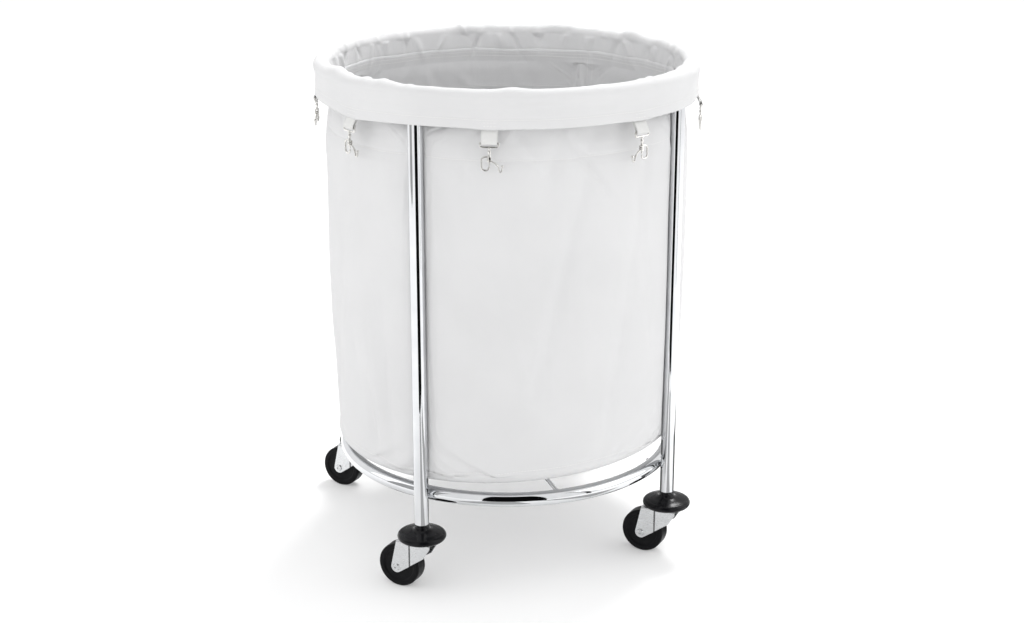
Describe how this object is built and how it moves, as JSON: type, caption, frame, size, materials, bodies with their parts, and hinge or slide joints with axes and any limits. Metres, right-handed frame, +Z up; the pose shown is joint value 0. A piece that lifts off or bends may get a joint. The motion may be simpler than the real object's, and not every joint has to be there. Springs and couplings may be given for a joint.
{
  "type": "laundry hamper",
  "caption": "Round rolling laundry hamper: a chromed tube frame on swivel casters with bumper discs holds a lift-out canvas bag with a rolled rim and snap hooks.",
  "frame": {"origin": "on the floor, on the vertical axis of the round frame", "axes": "+Z up; the front post stands on -Y, the right post on +X; at rest the casters trail towards -X"},
  "size_m": [0.5852, 0.5564, 0.6775],
  "materials": {
    "chrome": "bright chrome plate on steel tube",
    "zinc": "bright zinc-plated pressed steel",
    "steel": "zinc-plated screws and nuts",
    "nickel": "nickel-plated wire, slightly worn",
    "bumper_rubber": "smooth moulded rubber with a soft shine",
    "wheel_plastic": "hard black moulded wheel, lightly scuffed tread",
    "nylon": "natural nylon",
    "canvas": "white heavy cotton canvas, plain weave",
    "webbing": "white cotton webbing"
  },
  "bodies": {
    "frame": {"top_ring": "chrome", "bottom_ring": "chrome", "cross_rod_lower": "chrome", "cross_rod_upper": "chrome", "ring_bolts": "steel", "ring_nuts": "steel", "top_screws": "steel", "post_top_plugs": "nylon", "stem_sockets": "nylon", "swivel_races": "zinc", "post_front": "chrome", "post_right": "chrome", "post_back": "chrome", "post_left": "chrome", "bumper_front": "bumper_rubber", "bumper_right": "bumper_rubber", "bumper_back": "bumper_rubber", "bumper_left": "bumper_rubber", "stem_front": "zinc", "stem_right": "zinc", "stem_back": "zinc", "stem_left": "zinc"},
    "bag": {"bag_body": "canvas", "bag_floor": "canvas", "bag_cuff": "canvas", "webbing_tabs": "webbing"},
    "caster_front": {"yoke_front": "zinc", "axle_front": "zinc"},
    "caster_wheel_front": {"wheel_front": "wheel_plastic", "wheel_bush_front": "nylon"},
    "caster_right": {"yoke_right": "zinc", "axle_right": "zinc"},
    "caster_wheel_right": {"wheel_right": "wheel_plastic", "wheel_bush_right": "nylon"},
    "caster_back": {"yoke_back": "zinc", "axle_back": "zinc"},
    "caster_wheel_back": {"wheel_back": "wheel_plastic", "wheel_bush_back": "nylon"},
    "caster_left": {"yoke_left": "zinc", "axle_left": "zinc"},
    "caster_wheel_left": {"wheel_left": "wheel_plastic", "wheel_bush_left": "nylon"},
    "hook_1": {"hook_1": "nickel"},
    "trigger_1": {"trigger_1": "nickel"},
    "hook_2": {"hook_2": "nickel"},
    "trigger_2": {"trigger_2": "nickel"},
    "hook_3": {"hook_3": "nickel"},
    "trigger_3": {"trigger_3": "nickel"},
    "hook_4": {"hook_4": "nickel"},
    "trigger_4": {"trigger_4": "nickel"},
    "hook_5": {"hook_5": "nickel"},
    "trigger_5": {"trigger_5": "nickel"},
    "hook_6": {"hook_6": "nickel"},
    "trigger_6": {"trigger_6": "nickel"},
    "hook_7": {"hook_7": "nickel"},
    "trigger_7": {"trigger_7": "nickel"},
    "hook_8": {"hook_8": "nickel"},
    "trigger_8": {"trigger_8": "nickel"}
  },
  "joints": [
    {"name": "bag_lift", "type": "slide", "parent": "frame", "child": "bag", "axis": [0, 0, 1], "range_m": [0, 0.56]},
    {"name": "swivel_front", "type": "hinge", "parent": "frame", "child": "caster_front", "pos_m": [0, -0.246, 0.0685], "axis": [0, 0, 1], "continuous": true},
    {"name": "spin_front", "type": "hinge", "parent": "caster_front", "child": "caster_wheel_front", "pos_m": [-0.031, -0.246, 0.03], "axis": [0, 1, 0], "continuous": true},
    {"name": "swivel_right", "type": "hinge", "parent": "frame", "child": "caster_right", "pos_m": [0.246, 0, 0.0685], "axis": [0, 0, 1], "continuous": true},
    {"name": "spin_right", "type": "hinge", "parent": "caster_right", "child": "caster_wheel_right", "pos_m": [0.215, 0, 0.03], "axis": [0, 1, 0], "continuous": true},
    {"name": "swivel_back", "type": "hinge", "parent": "frame", "child": "caster_back", "pos_m": [0, 0.246, 0.0685], "axis": [0, 0, 1], "continuous": true},
    {"name": "spin_back", "type": "hinge", "parent": "caster_back", "child": "caster_wheel_back", "pos_m": [-0.031, 0.246, 0.03], "axis": [0, 1, 0], "continuous": true},
    {"name": "swivel_left", "type": "hinge", "parent": "frame", "child": "caster_left", "pos_m": [-0.246, 0, 0.0685], "axis": [0, 0, 1], "continuous": true},
    {"name": "spin_left", "type": "hinge", "parent": "caster_left", "child": "caster_wheel_left", "pos_m": [-0.277, 0, 0.03], "axis": [0, 1, 0], "continuous": true},
    {"name": "hook_swing_1", "type": "hinge", "parent": "bag", "child": "hook_1", "pos_m": [0.09898, -0.23896, 0.6136], "axis": [-0.9239, -0.3827, 0], "range_deg": [0, 105]},
    {"name": "trigger_1", "type": "hinge", "parent": "hook_1", "child": "trigger_1", "pos_m": [0.09898, -0.23896, 0.5921], "axis": [-0.3827, 0.9239, 0], "range_deg": [0, 22], "stiffness_Nm_per_rad": 0.003, "springref_deg": -17.19},
    {"name": "hook_swing_2", "type": "hinge", "parent": "bag", "child": "hook_2", "pos_m": [0.23896, -0.09898, 0.6136], "axis": [-0.3827, -0.9239, 0], "range_deg": [0, 105]},
    {"name": "trigger_2", "type": "hinge", "parent": "hook_2", "child": "trigger_2", "pos_m": [0.23896, -0.09898, 0.5921], "axis": [0.9239, -0.3827, 0], "range_deg": [0, 22], "stiffness_Nm_per_rad": 0.003, "springref_deg": -17.19},
    {"name": "hook_swing_3", "type": "hinge", "parent": "bag", "child": "hook_3", "pos_m": [0.23896, 0.09898, 0.6136], "axis": [0.3827, -0.9239, 0], "range_deg": [0, 105]},
    {"name": "trigger_3", "type": "hinge", "parent": "hook_3", "child": "trigger_3", "pos_m": [0.23896, 0.09898, 0.5921], "axis": [-0.9239, -0.3827, 0], "range_deg": [0, 22], "stiffness_Nm_per_rad": 0.003, "springref_deg": -17.19},
    {"name": "hook_swing_4", "type": "hinge", "parent": "bag", "child": "hook_4", "pos_m": [0.09898, 0.23896, 0.6136], "axis": [0.9239, -0.3827, 0], "range_deg": [0, 105]},
    {"name": "trigger_4", "type": "hinge", "parent": "hook_4", "child": "trigger_4", "pos_m": [0.09898, 0.23896, 0.5921], "axis": [0.3827, 0.9239, 0], "range_deg": [0, 22], "stiffness_Nm_per_rad": 0.003, "springref_deg": -17.19},
    {"name": "hook_swing_5", "type": "hinge", "parent": "bag", "child": "hook_5", "pos_m": [-0.09898, 0.23896, 0.6136], "axis": [0.9239, 0.3827, 0], "range_deg": [0, 105]},
    {"name": "trigger_5", "type": "hinge", "parent": "hook_5", "child": "trigger_5", "pos_m": [-0.09898, 0.23896, 0.5921], "axis": [0.3827, -0.9239, 0], "range_deg": [0, 22], "stiffness_Nm_per_rad": 0.003, "springref_deg": -17.19},
    {"name": "hook_swing_6", "type": "hinge", "parent": "bag", "child": "hook_6", "pos_m": [-0.23896, 0.09898, 0.6136], "axis": [0.3827, 0.9239, 0], "range_deg": [0, 105]},
    {"name": "trigger_6", "type": "hinge", "parent": "hook_6", "child": "trigger_6", "pos_m": [-0.23896, 0.09898, 0.5921], "axis": [-0.9239, 0.3827, 0], "range_deg": [0, 22], "stiffness_Nm_per_rad": 0.003, "springref_deg": -17.19},
    {"name": "hook_swing_7", "type": "hinge", "parent": "bag", "child": "hook_7", "pos_m": [-0.23896, -0.09898, 0.6136], "axis": [-0.3827, 0.9239, 0], "range_deg": [0, 105]},
    {"name": "trigger_7", "type": "hinge", "parent": "hook_7", "child": "trigger_7", "pos_m": [-0.23896, -0.09898, 0.5921], "axis": [0.9239, 0.3827, 0], "range_deg": [0, 22], "stiffness_Nm_per_rad": 0.003, "springref_deg": -17.19},
    {"name": "hook_swing_8", "type": "hinge", "parent": "bag", "child": "hook_8", "pos_m": [-0.09898, -0.23896, 0.6136], "axis": [-0.9239, 0.3827, 0], "range_deg": [0, 105]},
    {"name": "trigger_8", "type": "hinge", "parent": "hook_8", "child": "trigger_8", "pos_m": [-0.09898, -0.23896, 0.5921], "axis": [0.3827, 0.9239, 0], "range_deg": [0, 22], "stiffness_Nm_per_rad": 0.003, "springref_deg": -17.19}
  ]
}
